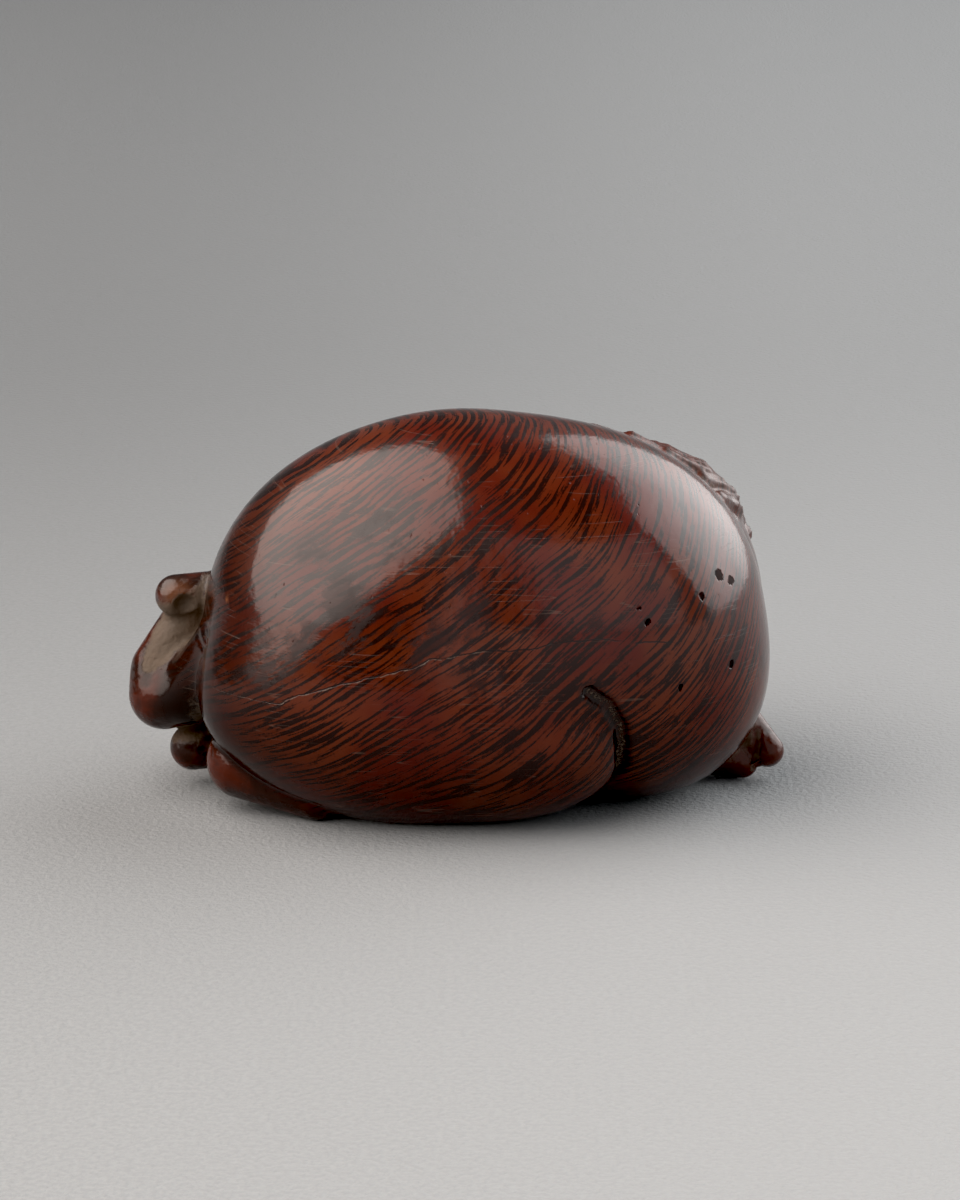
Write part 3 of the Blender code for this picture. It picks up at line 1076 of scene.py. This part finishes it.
    def darkness(self, graph: Graph, place: Socket, grain: Socket) -> Socket:
        """How much of the wood is dark streak: closer layers where they lie flat in the surface, and pores.

        Args:
            graph: the nodes of the finish.
            place: the place on the object.
            grain: the places along the growth layers.

        Returns:
            A share from 0 to 1.
        """
        steep = self.streaks(graph, grain, 1.0)
        flat = self.streaks(graph, grain, self.flat_rate)
        pace = graph.span(graph.mark(Mark.PACE), *self.pace_span)
        streaks = graph.maths("MULTIPLY_ADD", flat, graph.rest(pace), graph.maths("MULTIPLY", steep, pace))
        density = graph.spread(graph.noise(place, self.density_rate, 2.0), self.density_size)
        pores = graph.spread(graph.noise(place, self.pore_rate, 2.0, 0.6), self.pore_size)
        streaks = graph.maths("ADD", graph.maths("ADD", streaks, density), pores)
        return graph.span(streaks, *self.dark_span)

    def body_colour(self, graph: Graph, place: Socket, dark: Socket) -> Socket:
        """The streaked wood of the body, with painted shade low down, and darker towards the rump.

        Args:
            graph: the nodes of the finish.
            place: the place on the object.
            dark: how much of it is dark streak.

        Returns:
            The colour.
        """
        warmth = graph.span(graph.noise(place, self.warmth_rate, 3.0, 0.6), *self.warmth_span)
        colour = graph.mix(warmth, self.red, self.brown)
        colour = graph.mix(dark, colour, self.streak)
        # Painted shade: the body darkens below 10 mm of height; it also darkens towards the rump
        low = graph.rest(graph.span(graph.part(place, "Z"), *self.low_span))
        rump = graph.span(graph.part(place, "X"), *self.rump_span, self.rump_shade, 0.0)
        dull = graph.maths("MULTIPLY_ADD", low, self.low_shade, rump, clamp=True)
        return graph.mix(dull, colour, self.deep)

    def limb_colour(self, graph: Graph, place: Socket) -> Socket:
        """The calmer wood of the limbs, the tail and the head, redder towards the shoulder.

        Args:
            graph: the nodes of the finish.
            place: the place on the object.

        Returns:
            The colour.
        """
        shoulder = graph.span(graph.part(place, "X"), *self.shoulder_span, 0.0, self.shoulder_redness)
        redness = graph.maths("ADD", graph.noise(place, self.redness_rate, 3.0), shoulder)
        return graph.mix(graph.span(redness, *self.redness_span), self.quiet, self.quiet_red)

    def hairs(self, graph: Graph, place: Socket) -> Socket:
        """Where fine level scratches show.

        Args:
            graph: the nodes of the finish.
            place: the place on the object.

        Returns:
            A share from 0 to 1.
        """
        lines = graph.noise(graph.vector("MULTIPLY", place, self.hair_rates), 1.0, 0.0)
        lines = graph.line(graph.maths("SUBTRACT", lines, 0.5), self.hair_width)
        patches = graph.span(graph.noise(place, self.hair_place_rate, 1.0), *self.hair_place_span)
        return graph.maths("MULTIPLY", lines, patches)

    def rubbed(self, graph: Graph, grain: Socket) -> Socket:
        """Where the polish is rubbed off, in flecks along the grain."""
        flecks = graph.noise(graph.vector("MULTIPLY", grain, self.rub_rates), 1.0, 4.0, 0.7)
        flecks = graph.maths("MULTIPLY", graph.mark(Mark.WORN), graph.span(flecks, *self.rub_span))
        return graph.maths("MULTIPLY", flecks, self.rub_gain, clamp=True)

    def cracks(self, graph: Graph, place: Socket) -> tuple:
        """The old hairline crack.

        Args:
            graph: the nodes of the finish.
            place: the place on the object.

        Returns:
            Where its dark core shows, and where the light edge beside it does.
        """
        wander = graph.spread(graph.noise(place, self.crack_wander_rate, 2.0), self.crack_wander_size)
        height = graph.maths("ADD", graph.mark(Mark.CRACK), wander)
        edge = graph.line(graph.maths("ADD", height, self.edge_drop), self.edge_width)
        broken = graph.span(graph.noise(place, self.edge_break_rate, 3.0, 0.7), *self.edge_break_span)
        edge = graph.maths("MULTIPLY", edge, broken)
        edge = graph.maths("MULTIPLY", edge, graph.rest(graph.span(graph.part(place, "X"), *self.edge_end)))
        broken = graph.span(graph.noise(place, self.crack_break_rate, 2.0), *self.crack_break_span)
        return graph.maths("MULTIPLY", graph.line(height, self.crack_width), broken), edge

    def dustiness(self, graph: Graph, place: Socket, groove: Socket) -> Socket:
        """Dust in the hollows, and as grains at the bottom of the crescent.

        Args:
            graph: the nodes of the finish.
            place: the place on the object.
            groove: the distance from the middle of the crescent.

        Returns:
            A share from 0 to 1.
        """
        hollow = graph.maths("MULTIPLY_ADD", graph.mark(Mark.DUSTY), self.dusty_gain, graph.mark(Mark.DUST))
        broken = graph.spread(graph.noise(place, self.dust_break_rate, 4.0, 0.7), self.dust_break_size)
        dusty = graph.span(graph.maths("ADD", hollow, broken), *self.dust_span)
        dusty = graph.maths("MULTIPLY", dusty, graph.span(groove, *self.dust_free_span))
        frayed = graph.spread(graph.noise(place, self.sediment_rate, 3.0, 0.7), self.sediment_size)
        sediment = graph.span(graph.maths("ADD", groove, frayed), *self.sediment_span, 1.0, 0.0)
        grains = graph.span(graph.noise(place, self.chisel_rate, 2.0, 0.6), *self.chisel_span)
        return graph.maths("MAXIMUM", dusty, graph.maths("MULTIPLY", sediment, grains))

    def pits(self, graph: Graph, place: Socket) -> Socket:
        """Where the surface has ragged pits."""
        ragged = graph.noise(graph.vector("MULTIPLY", place, self.pit_rates), 1.0, 2.0)
        ragged = graph.spread(ragged, self.pit_size)
        return graph.span(graph.maths("ADD", graph.mark(Mark.PITTED), ragged), *self.pit_span)

    def polished(self, graph: Graph, place: Socket, crest: Socket, dull: Socket) -> None:
        """Give the shader its gloss and its wax, both stronger where a hand holds the netsuke.

        Args:
            graph: the nodes of the finish.
            place: the place on the object.
            crest: how near the crest is.
            dull: where there is no gloss at all.
        """
        gloss = graph.maths("MULTIPLY_ADD", crest, -self.crest_dullness, 1.0)
        gloss = graph.maths("MULTIPLY", graph.rest(dull), gloss)
        handled = graph.span(graph.part(place, "Z"), *self.handled_span)
        amounts = (("Specular IOR Level", self.shine, self.handled_shine),
                   ("Coat Weight", self.wax, self.handled_wax))
        for name, least, more in amounts:
            amount = graph.maths("MULTIPLY_ADD", handled, more, least)
            graph.put(graph.shader.inputs[name], graph.maths("MULTIPLY", gloss, amount))
        graph.shader.inputs["Coat Roughness"].default_value = self.wax_roughness

    def material(self) -> bpy.types.Material:
        """Make the finish.

        Returns:
            The material, which reads the surface's attributes and object coordinates.
        """
        material, graph = new_material("waxed_red_wood")
        place = graph.place()
        shift = graph.tree.nodes.new("ShaderNodeCombineXYZ")
        graph.put(shift.inputs["X"], graph.spread(graph.noise(place, self.sway_rate, 1.0), self.sway_size))
        grain = graph.vector("ADD", graph.attribute(Mark.GRAIN).outputs["Vector"], shift.outputs[0])
        dark = self.darkness(graph, place, grain)
        crest = graph.mark(Mark.CREST)
        quiet = graph.maths("MULTIPLY", graph.mark(Mark.QUIET), graph.rest(crest))
        # The crest's steep sides, where shade is painted and the gloss is taken away
        wall = graph.maths("MULTIPLY", graph.mark(Mark.SHADED_WALL), crest)
        groove = graph.mark(Mark.GROOVE)
        hairs = self.hairs(graph, place)
        rubbed = self.rubbed(graph, grain)
        crack, edge = self.cracks(graph, place)
        dusty = self.dustiness(graph, place, groove)
        pitted = self.pits(graph, place)

        colour = graph.mix(quiet, self.body_colour(graph, place, dark), self.limb_colour(graph, place))
        layers = (
            (hairs, self.hair_share, self.crack),
            (rubbed, self.rub_share, self.streak),
            (edge, self.edge_share, self.crack),
            (crack, self.crack_share, self.pit),
            (graph.mark(Mark.PALE), self.pale_share, self.pale),
            # Painted shade on the crest's steep sides
            (wall, self.wall_shade_share, self.wall),
            # Painted shade: the crescent groove darkened towards its middle, full within 0.3 mm and gone by 1 mm
            (graph.span(groove, *self.groove_shade_span, 1.0, 0.0), self.groove_shade_share, self.deep),
            (dusty, self.dust_share, self.dust),
            (pitted, self.pit_share, self.pit),
        )
        for where, share, paint in layers:
            colour = graph.mix(graph.maths("MULTIPLY", where, share), colour, paint)
        graph.put(graph.shader.inputs["Base Color"], colour)

        rough = graph.maths("MULTIPLY_ADD", dark, self.streak_roughness, self.polish)
        haze = graph.spread(graph.noise(place, self.haze_rate, 3.0, 0.6), self.haze_size)
        rough = graph.maths("ADD", rough, haze)
        roughened = ((rubbed, self.worn_roughness), (wall, self.wall_roughness), (crest, self.crest_roughness),
                     (quiet, self.quiet_roughness))
        for where, more in roughened:
            rough = graph.maths("MULTIPLY_ADD", where, more, rough)
        rough = graph.maths("MULTIPLY_ADD", dusty, self.dust_roughness - self.polish, rough, clamp=True)
        graph.put(graph.shader.inputs["Roughness"], rough)
        dull = graph.maths("MAXIMUM", graph.maths("MULTIPLY", pitted, self.pit_share), wall)
        self.polished(graph, place, crest, dull)

        fibres = graph.noise(graph.vector("MULTIPLY", place, self.fibre_rates), 1.0, 2.0, 0.6)
        swell = graph.noise(place, self.knife_rate, 2.0)
        height = graph.maths("MULTIPLY", swell, self.swell_height)
        raised = (
            (crack, -self.crack_depth),
            (pitted, -self.pit_depth),
            (hairs, -self.hair_depth),
            (fibres, self.fibre_height),
            (graph.maths("MULTIPLY", dusty, graph.noise(place, self.chisel_grain_rate, 2.0)), self.chisel_height),
            (graph.maths("MULTIPLY", quiet, swell), self.knife_height),
        )
        for where, more in raised:
            height = graph.maths("MULTIPLY_ADD", where, more, height)
        graph.bump(height, self.relief)
        return material


@dataclass(frozen=True)
class GreyPaper:
    """The pale grey ground, with the faint mottling of card, painted lighter towards the right and with painted shade
    towards the back.
    """

    colour: tuple = (0.330, 0.345, 0.354)
    mottle: tuple = (0.292, 0.305, 0.313)
    painted_light_side: tuple = (0.378, 0.395, 0.408)
    shaded_far_left: tuple = (0.167, 0.177, 0.184)
    shaded_far_right: tuple = (0.230, 0.244, 0.254)
    half_width: float = 45.0
    depth_span: tuple = (-100.0, 150.0)
    fibre_rate: float = 2.4
    fibre_span: tuple = (0.3, 0.7)
    side_share: float = 0.7
    roughness: float = 0.85
    shine: float = 0.2
    relief: float = 0.00012

    def material(self) -> bpy.types.Material:
        """Make the finish of the ground.

        Returns:
            The material.
        """
        material, graph = new_material("grey_paper")
        place = graph.place()
        fibres = graph.noise(place, self.fibre_rate, 2.0, 0.6)
        colour = graph.mix(graph.span(fibres, *self.fibre_span), self.colour, self.mottle)
        # Painted light: the ground grows lighter towards the right
        side = graph.span(graph.part(place, "X"), -self.half_width, self.half_width)
        colour = graph.mix(graph.maths("MULTIPLY", side, self.side_share), colour, self.painted_light_side)
        # Painted shade: the ground darkens towards the back, more on the left
        far = graph.mix(side, self.shaded_far_left, self.shaded_far_right)
        back = graph.span(graph.part(place, "Y"), *self.depth_span)
        graph.put(graph.shader.inputs["Base Color"], graph.mix(back, colour, far))
        graph.shader.inputs["Roughness"].default_value = self.roughness
        graph.shader.inputs["Specular IOR Level"].default_value = self.shine
        graph.bump(fibres, self.relief)
        return material


@dataclass(frozen=True)
class Boar:
    """The netsuke itself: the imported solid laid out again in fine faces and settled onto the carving."""

    carving: Carving
    layers: GrowthLayers = GrowthLayers()
    crack: Crack = Crack()
    face_size: float = 0.243
    quiet_reach: float = 0.5
    passes: int = 4

    def fine_copy(self, node: bpy.types.Object) -> bpy.types.Object:
        """Copy the node's mesh, merge its loose triangles and lay it out in small even faces.

        Args:
            node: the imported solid.

        Returns:
            A new object whose mesh follows the solid.
        """
        mesh = node.data.copy()
        mesh.name = "boar_carving"
        loose = bmesh.new()
        loose.from_mesh(mesh)
        bmesh.ops.remove_doubles(loose, verts=loose.verts, dist=1e-6)
        for middle, radius in self.carving.rump.fold_balls():
            place = Matrix.Translation(Vector(middle) * MM)
            bmesh.ops.create_icosphere(loose, subdivisions=3, radius=radius * MM, matrix=place)
        loose.to_mesh(mesh)
        loose.free()
        copy = bpy.data.objects.new("boar_carving", mesh)
        bpy.context.collection.objects.link(copy)
        remesh = copy.modifiers.new("fine", "REMESH")
        remesh.mode = "VOXEL"
        remesh.voxel_size = self.face_size * MM
        bpy.context.view_layer.update()
        fine = bpy.data.meshes.new_from_object(copy.evaluated_get(bpy.context.evaluated_depsgraph_get()))
        copy.modifiers.clear()
        copy.data = fine
        fine.name = "boar_carving"
        return copy

    def mark(self, mesh: bpy.types.Mesh, mark: Mark, values: np.ndarray) -> None:
        """Keep values on the mesh's vertices, as numbers or as vectors."""
        kind, name = ("FLOAT_VECTOR", "vector") if values.ndim == 2 else ("FLOAT", "value")
        layer = mesh.attributes.new(mark.value, kind, "POINT")
        layer.data.foreach_set(name, np.ascontiguousarray(values, dtype=np.float32).ravel())

    def make(self, node: bpy.types.Object) -> bpy.types.Object:
        """Build the fine piece, with its attributes and its finish.

        Args:
            node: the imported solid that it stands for.

        Returns:
            The piece.
        """
        piece = self.fine_copy(node)
        mesh = piece.data
        places = np.empty(len(mesh.vertices) * 3)
        mesh.vertices.foreach_get("co", places)
        points = settle(places.reshape(-1, 3) / MM, self.carving.carved, self.passes)
        mesh.vertices.foreach_set("co", (points * MM).ravel())
        slope = slope_of(points, self.carving.carved, self.carving.carved(points))
        normals = slope / (np.linalg.norm(slope, axis=1)[:, None] + 1e-9)
        self.mark(mesh, Mark.GRAIN, self.layers.coordinates(points))
        self.mark(mesh, Mark.DUST, self.carving.hollowness(points, normals))
        self.mark(mesh, Mark.CRACK, self.crack.signed_height(points))
        self.mark(mesh, Mark.WORN, WORN_SPOTS.strength(points))
        self.mark(mesh, Mark.PALE, PALE_SPOTS.strength(points))
        self.mark(mesh, Mark.PACE, self.layers.pace(points, normals))
        self.mark(mesh, Mark.QUIET, smooth_step(self.carving.body_distance(points) / self.quiet_reach))
        self.mark(mesh, Mark.PITTED, PITTED_SPOTS.strength(points))
        self.mark(mesh, Mark.DUSTY, DUSTY_SPOTS.strength(points))
        self.mark(mesh, Mark.GROOVE, np.minimum(self.carving.groove_distance(points), 3.0))
        self.mark(mesh, Mark.CREST, self.carving.crest.nearness(points))
        self.mark(mesh, Mark.SHADED_WALL, self.carving.crest.walls(points, normals, self.carving.trunk))
        mesh.materials.clear()
        mesh.materials.append(WaxedWood().material())
        mesh.shade_smooth()
        mesh.update()
        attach(piece, BODY)
        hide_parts(NODE)
        return piece


@dataclass(frozen=True)
class Ground:
    """A sheet that runs back along the floor and curves up behind."""

    front: float = -0.9
    back: float = 0.55
    bend_radius: float = 0.45
    top: float = 1.6
    half_width: float = 1.8
    bend_steps: int = 24

    def make(self) -> bpy.types.Object:
        """Carry the profile across: flat, then y = b + r sin(a) and z = r - r cos(a), then upright.

        Returns:
            The sheet.
        """
        angle = np.linspace(0.0, math.pi / 2, self.bend_steps)
        along = np.concatenate([[self.front], self.back + self.bend_radius * np.sin(angle),
                                [self.back + self.bend_radius]])
        height = np.concatenate([[0.0], self.bend_radius * (1.0 - np.cos(angle)), [self.top]])
        sides = np.array([-self.half_width, self.half_width])
        x, y = np.meshgrid(sides, along)
        places = np.stack([x, y, np.repeat(height[:, None], 2, axis=1)], axis=2).reshape(-1, 3)
        first = 2 * np.arange(len(along) - 1)
        faces = np.stack([first, first + 1, first + 3, first + 2], axis=1)
        mesh = bpy.data.meshes.new("ground")
        mesh.from_pydata(places.tolist(), [], faces.tolist())
        mesh.materials.append(GreyPaper().material())
        mesh.shade_smooth()
        ground = bpy.data.objects.new("ground", mesh)
        bpy.context.collection.objects.link(ground)
        return ground


@dataclass(frozen=True)
class Softbox:
    """A broad soft light, seen from the boar.

    Its middle lies towards an azimuth and an elevation, in degrees, the azimuth being 0 at the camera and growing to
    the right. Its face looks at the boar. Its outline is given by angles round its middle, and by how far it reaches
    there as a share of its distance.
    """

    name: str
    azimuth: float
    elevation: float
    distance: float
    outline: tuple
    radiance: float
    edge_share: float
    fade: float
    tint: tuple
    rings: int = 6
    corners: int = 24

    def make(self) -> bpy.types.Object:
        """Lay out rings between the middle and the outline: p = d (m + r R(a) (cos(a) h + sin(a) v)).

        Returns:
            The glowing sheet.
        """
        turn, rise = math.radians(self.azimuth), math.radians(self.elevation)
        middle = np.array([math.sin(turn) * math.cos(rise), -math.cos(turn) * math.cos(rise), math.sin(rise)])
        across = np.cross(middle, [0.0, 0.0, 1.0])
        across /= np.linalg.norm(across)
        upward = np.cross(across, middle)
        angles = np.arange(self.corners) * 360.0 / self.corners
        given = np.array(self.outline)
        reach = np.interp(angles, given[:, 0], given[:, 1], period=360.0)
        share = np.arange(self.rings + 1) / self.rings
        radius = share[:, None] * reach[None, :]
        flat = np.radians(angles)
        places = middle + radius[..., None] * (np.cos(flat)[:, None] * across + np.sin(flat)[:, None] * upward)
        places = (places * self.distance).reshape(-1, 3)
        ring, corner = np.meshgrid(np.arange(self.rings), np.arange(self.corners), indexing="ij")
        following = (corner + 1) % self.corners
        first = ring * self.corners
        faces = np.stack([first + corner, first + self.corners + corner, first + self.corners + following,
                          first + following], axis=2).reshape(-1, 4)
        mesh = bpy.data.meshes.new(self.name)
        mesh.from_pydata(places.tolist(), [], faces.tolist())
        glow = self.edge_share + (1.0 - self.edge_share) * smooth_step((1.0 - share) / self.fade)
        layer = mesh.attributes.new("glow", "FLOAT", "POINT")
        layer.data.foreach_set("value", np.repeat(glow, self.corners).astype(np.float32))
        mesh.materials.append(self.face())
        sheet = bpy.data.objects.new(self.name, mesh)
        sheet.visible_camera = False
        bpy.context.collection.objects.link(sheet)
        return sheet

    def face(self) -> bpy.types.Material:
        """The glowing face, whose strength follows the glow kept on the sheet.

        Returns:
            The material.
        """
        material, graph = new_material(self.name)
        glow = graph.tree.nodes.new("ShaderNodeAttribute")
        glow.attribute_name = "glow"
        graph.shader.inputs["Base Color"].default_value = (0.0, 0.0, 0.0, 1.0)
        graph.shader.inputs["Emission Color"].default_value = (*self.tint, 1.0)
        strength = graph.maths("MULTIPLY", glow.outputs["Fac"], self.radiance)
        graph.put(graph.shader.inputs["Emission Strength"], strength)
        return material


LEFT_OUTLINE = ((-168, 1.04), (-144, 1.03), (-112, 0.94), (-80, 0.83), (-53, 0.74), (-25, 0.76), (-2, 0.93), (15, 1.16),
                (38, 1.2), (60, 1.05), (105, 0.8), (149, 1.04))
RIGHT_OUTLINE = ((-150, 0.9), (-90, 0.55), (-30, 0.9), (0, 0.8), (45, 0.85), (90, 0.62), (135, 0.85), (180, 0.8))


@dataclass(frozen=True)
class Studio:
    """Two softboxes, and the dim grey room round them, with one lit wall."""

    left: Softbox = Softbox("left_softbox", -75.0, 45.0, 0.5, LEFT_OUTLINE, 3.5, 0.75, 0.5, (1.0, 0.9, 0.83))
    right: Softbox = Softbox("right_softbox", 120.0, 28.0, 0.6, RIGHT_OUTLINE, 4.2, 0.45, 0.85, (1.0, 0.99, 0.98))
    room: float = 0.07
    lit_wall: float = 0.65
    wall_sides: tuple = (4.0, 67.0)
    wall_top: float = 49.0
    wall_blur: float = 6.0
    black_level: float = 0.010

    def make(self) -> None:
        """Light the scene, and set how dark its blacks are."""
        self.left.make()
        self.right.make()
        world = bpy.data.worlds.new("room")
        world.use_nodes = True
        tree = world.node_tree
        where = tree.nodes.new("ShaderNodeTexCoord")
        graph = Graph(tree)
        towards = where.outputs["Generated"]
        nearer = graph.maths("MULTIPLY", graph.part(towards, "Y"), -1.0)
        azimuth = graph.maths("DEGREES", graph.maths("ARCTAN2", graph.part(towards, "X"), nearer))
        elevation = graph.maths("DEGREES", graph.maths("ARCSINE", graph.part(towards, "Z")))
        blur = self.wall_blur
        low, high = self.wall_sides
        wall = graph.maths("MULTIPLY", graph.span(azimuth, low - blur, low + blur),
                           graph.span(azimuth, high - blur, high + blur, 1.0, 0.0))
        below = graph.span(elevation, self.wall_top - blur / 2, self.wall_top + blur / 2, 1.0, 0.0)
        wall = graph.maths("MULTIPLY", wall, below)
        strength = graph.maths("MULTIPLY_ADD", wall, self.lit_wall, self.room)
        background = tree.nodes["Background"]
        background.inputs["Color"].default_value = (1.0, 1.0, 1.0, 1.0)
        graph.put(background.inputs["Strength"], strength)
        world.cycles.sampling_method = "NONE"
        bpy.context.scene.world = world
        view = bpy.context.scene.view_settings
        view.view_transform = "Standard"
        view.use_curve_mapping = True
        view.curve_mapping.black_level = (self.black_level,) * 3
        view.curve_mapping.update()


@dataclass(frozen=True)
class Viewpoint:
    """The camera at the photograph's angle: a long lens, a little above the boar, square to its flank."""

    target: tuple = (0.00127, -0.005118, 0.014489)
    distance: float = 0.35
    elevation: float = 15.0
    lens: float = 157.5
    sensor: float = 36.0

    def make(self) -> bpy.types.Object:
        """Set up the camera and make it the scene's.

        Returns:
            The camera.
        """
        data = bpy.data.cameras.new("camera")
        data.sensor_fit = "VERTICAL"
        data.sensor_height = self.sensor
        data.lens = self.lens
        data.clip_start = 0.01
        camera = bpy.data.objects.new("camera", data)
        tilt = math.radians(self.elevation)
        ahead = Vector((0.0, math.cos(tilt), -math.sin(tilt)))
        camera.location = Vector(self.target) - ahead * self.distance
        camera.rotation_euler = (math.pi / 2 - tilt, 0.0, 0.0)
        bpy.context.collection.objects.link(camera)
        bpy.context.scene.camera = camera
        return camera


def main() -> None:
    """Dress the frame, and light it."""
    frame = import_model()
    Viewpoint().make()
    piece = Boar(Carving()).make(frame["nodes"][NODE])
    log.info("%s: %d vertices, %d faces", piece.name, len(piece.data.vertices), len(piece.data.polygons))
    Ground().make()
    Studio().make()


if __name__ == "__main__":
    logging.basicConfig(level=logging.INFO)
    main()
